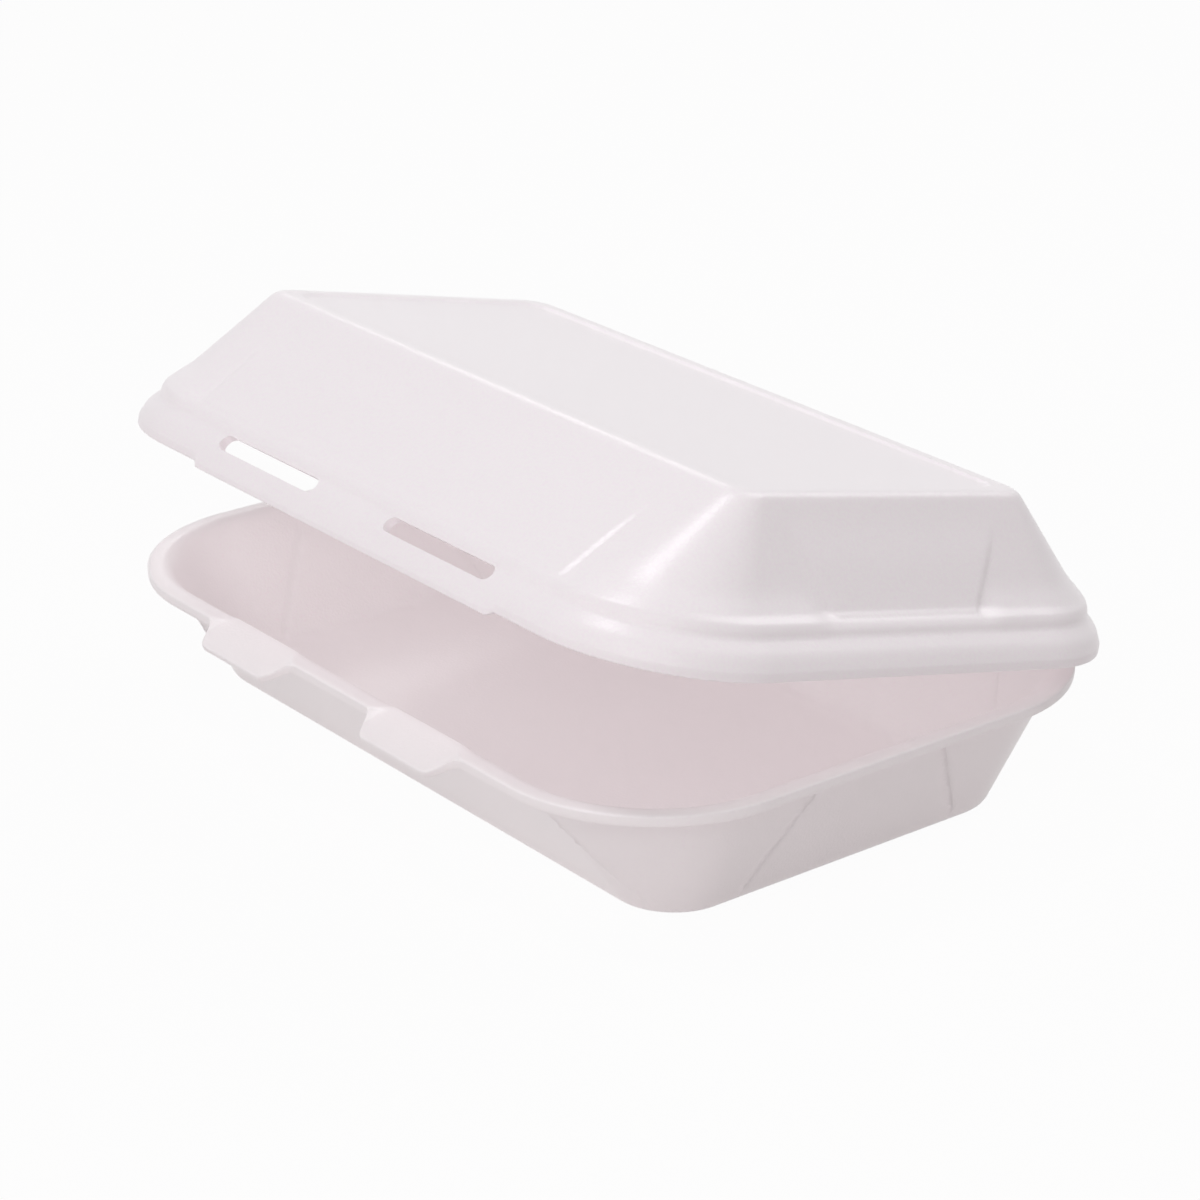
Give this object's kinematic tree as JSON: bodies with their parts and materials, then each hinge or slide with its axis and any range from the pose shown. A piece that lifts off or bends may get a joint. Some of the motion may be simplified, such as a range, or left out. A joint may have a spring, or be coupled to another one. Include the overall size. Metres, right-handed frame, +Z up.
{
  "type": "hinged foam food container",
  "caption": "White foam clamshell food box: tapered tray with rolled rim and latch tongues, domed lid with slotted skirt, crimped hinge along the back, lid ajar.",
  "frame": {"origin": "middle of the tray's flat underside", "axes": "+X along the hinge, +Y to the back where the hinge is, +Z up; the latch is at -Y"},
  "size_m": [0.246, 0.1849, 0.1081],
  "materials": {
    "tray_foam": "satin foam skin",
    "lid_foam": "satin foam skin"
  },
  "bodies": {
    "base": {"base_tray": "tray_foam"},
    "lid": {"lid": "lid_foam"}
  },
  "joints": [
    {"name": "lid_hinge", "type": "hinge", "parent": "base", "child": "lid", "pos_m": [0, 0.0906, 0.0382], "axis": [-1, 0, 0], "range_deg": [-13, 162]}
  ]
}
